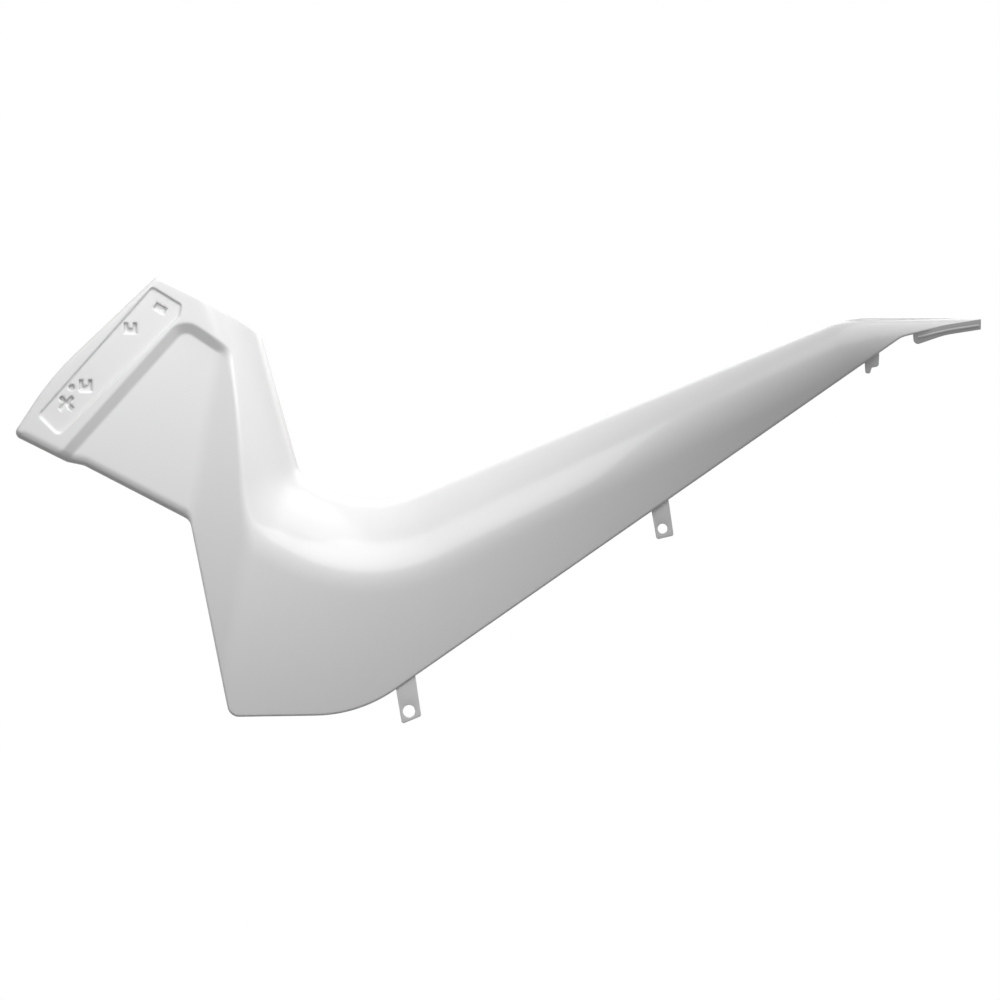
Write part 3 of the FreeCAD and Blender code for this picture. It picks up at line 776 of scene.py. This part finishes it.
links.new(path.outputs["Curve"], even.inputs["Curve"])
links.new(given.outputs["Spacing"], even.inputs["Length"])
links.new(given.outputs["Radius"], section.inputs["Radius"])
links.new(given.outputs["Sides"], section.inputs["Resolution"])
links.new(even.outputs["Curve"], tube.inputs["Curve"])
links.new(section.outputs["Curve"], tube.inputs["Profile Curve"])
links.new(tube.outputs["Mesh"], painted.inputs["Geometry"])
links.new(given.outputs["Material"], painted.inputs["Material"])
links.new(painted.outputs["Geometry"], result.inputs["Bead"])

modifier = tongueBead.modifiers.new("bead", "NODES")
modifier.node_group = sweep
modifier[inputs["Radius"]] = bead["radius"] * mm
modifier[inputs["Spacing"]] = bead["spacing"] * mm
modifier[inputs["Sides"]] = bead["sides"]
modifier[inputs["Material"]] = whitePaint
swept = bpy.data.meshes.new_from_object(tongueBead.evaluated_get(bpy.context.evaluated_depsgraph_get()))
tongueBead.modifiers.clear()
tongueBead.data = swept
work = bmesh.new()
work.from_mesh(swept)
bmesh.ops.remove_doubles(work, verts=work.verts, dist=doubles)
bmesh.ops.recalc_face_normals(work, faces=work.faces)
work.to_mesh(swept)
work.free()
swept.shade_smooth()
print("bead swept", len(swept.polygons), "faces")

for piece in (shell, fittings, tongueBead):
    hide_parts("side_panel")
    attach(piece, "root")

# Studio: pale floor and backdrop, soft lamps, and the camera of the photograph
studio = {
    "floorHeight": -0.32,
    "floorSize": 4.4,
    "cameraDistance": 14.0,
    "photoWidth": 0.85,            # metres across the picture
    "centre": (0.07735, 0.0, 0.17935),
    "fill": (0.02, 0.47),          # world light from below left and from above right
    "fillFrom": (0.40, 0.0, 0.92),
    "floorColor": 0.8,
    "floorBounce": 0.12,           # the floor's colour for the light it throws back
    "floorGlow": 0.42,
}


# One where the camera, a reflection or a refraction looks
def seenDirectly(nodes, links):
    path = nodes.new("ShaderNodeLightPath")
    total = path.outputs["Is Camera Ray"]
    for name in ("Is Glossy Ray", "Is Transmission Ray"):
        more = nodes.new("ShaderNodeMath")
        more.operation = "MAXIMUM"
        links.new(total, more.inputs[0])
        links.new(path.outputs[name], more.inputs[1])
        total = more.outputs["Value"]
    return total


# Pale where it is seen, darker for the light it throws back; it keeps the shadow
def floorMaterial():
    material = bpy.data.materials.new("paleFloor")
    material.use_nodes = True
    nodes, links = material.node_tree.nodes, material.node_tree.links
    shader = nodes["Principled BSDF"]
    shader.inputs["Roughness"].default_value = 0.8
    shader.inputs["Emission Color"].default_value = (1, 1, 1, 1)
    seen = seenDirectly(nodes, links)
    tone = nodes.new("ShaderNodeMix")
    tone.data_type = "RGBA"
    for place, value in ((6, studio["floorBounce"]), (7, studio["floorColor"])):     # the two colours
        tone.inputs[place].default_value = (value, value, value, 1)
    glow = nodes.new("ShaderNodeMath")
    glow.operation = "MULTIPLY"
    glow.inputs[1].default_value = studio["floorGlow"]
    links.new(seen, tone.inputs[0])
    links.new(tone.outputs[2], shader.inputs["Base Color"])
    links.new(seen, glow.inputs[0])
    links.new(glow.outputs["Value"], shader.inputs["Emission Strength"])
    return material


floorMesh = bpy.data.meshes.new("floor")
half, low = studio["floorSize"] / 2, studio["floorHeight"]
floorCorners = [(-half, -half, low), (half, -half, low), (half, half, low), (-half, half, low)]
floorMesh.from_pydata(floorCorners, [], [(0, 1, 2, 3)])
floorMesh.materials.append(floorMaterial())
floor = bpy.data.objects.new("floor", floorMesh)
bpy.context.scene.collection.objects.link(floor)

world = bpy.data.worlds.new("studio")
bpy.context.scene.world = world
world.use_nodes = True
nodes, links = world.node_tree.nodes, world.node_tree.links
fill = nodes["Background"]
fill.inputs["Color"].default_value = (1, 1, 1, 1)
direction = nodes.new("ShaderNodeTexCoord")
toward = nodes.new("ShaderNodeVectorMath")
toward.operation = "DOT_PRODUCT"
toward.inputs[1].default_value = studio["fillFrom"]
level = nodes.new("ShaderNodeMapRange")
level.inputs["From Min"].default_value = -1.0
level.inputs["To Min"].default_value, level.inputs["To Max"].default_value = studio["fill"]
links.new(direction.outputs["Generated"], toward.inputs[0])
links.new(toward.outputs["Value"], level.inputs["Value"])
links.new(level.outputs["Result"], fill.inputs["Strength"])
seen = nodes.new("ShaderNodeBackground")
seen.inputs["Color"].default_value = (1, 1, 1, 1)
seen.inputs["Strength"].default_value = 1.0
mix = nodes.new("ShaderNodeMixShader")
links.new(seenDirectly(nodes, links), mix.inputs["Fac"])
links.new(fill.outputs["Background"], mix.inputs[1])
links.new(seen.outputs["Background"], mix.inputs[2])
links.new(mix.outputs["Shader"], nodes["World Output"].inputs["Surface"])


def softLamp(name, place, target, size, power, spread=180):
    lamp = bpy.data.lights.new(name, "AREA")
    lamp.shape = "RECTANGLE"
    lamp.size, lamp.size_y = size
    lamp.energy = power
    lamp.spread = math.radians(spread)
    lampObject = bpy.data.objects.new(name, lamp)
    lampObject.location = place
    direction = Vector(target) - Vector(place)
    lampObject.rotation_euler = direction.to_track_quat("-Z", "Y").to_euler()
    bpy.context.scene.collection.objects.link(lampObject)


softLamp("topLamp", (0.50, -0.05, 1.25), (0.25, 0.05, 0.3), (1.4, 0.8), 5.0)
softLamp("backLamp", (0.15, 1.30, 0.80), (0.05, 0.05, 0.18), (1.4, 0.8), 2.6)
softLamp("wingLamp", (-0.15, -0.45, 0.60), (-0.24, 0.02, 0.23), (0.5, 0.5), 1.16, 100)

camera = bpy.data.cameras.new("camera")
camera.sensor_width = 36.0
camera.lens = camera.sensor_width * studio["cameraDistance"] / studio["photoWidth"]
camera.clip_end = 60.0
cameraObject = bpy.data.objects.new("camera", camera)
cameraObject.location = Vector(studio["centre"]) - Vector((0, studio["cameraDistance"], 0))
cameraObject.rotation_euler = (math.radians(90), 0, 0)
bpy.context.scene.collection.objects.link(cameraObject)
bpy.context.scene.camera = cameraObject
bpy.context.scene.view_settings.view_transform = "Standard"
print("studio ready")
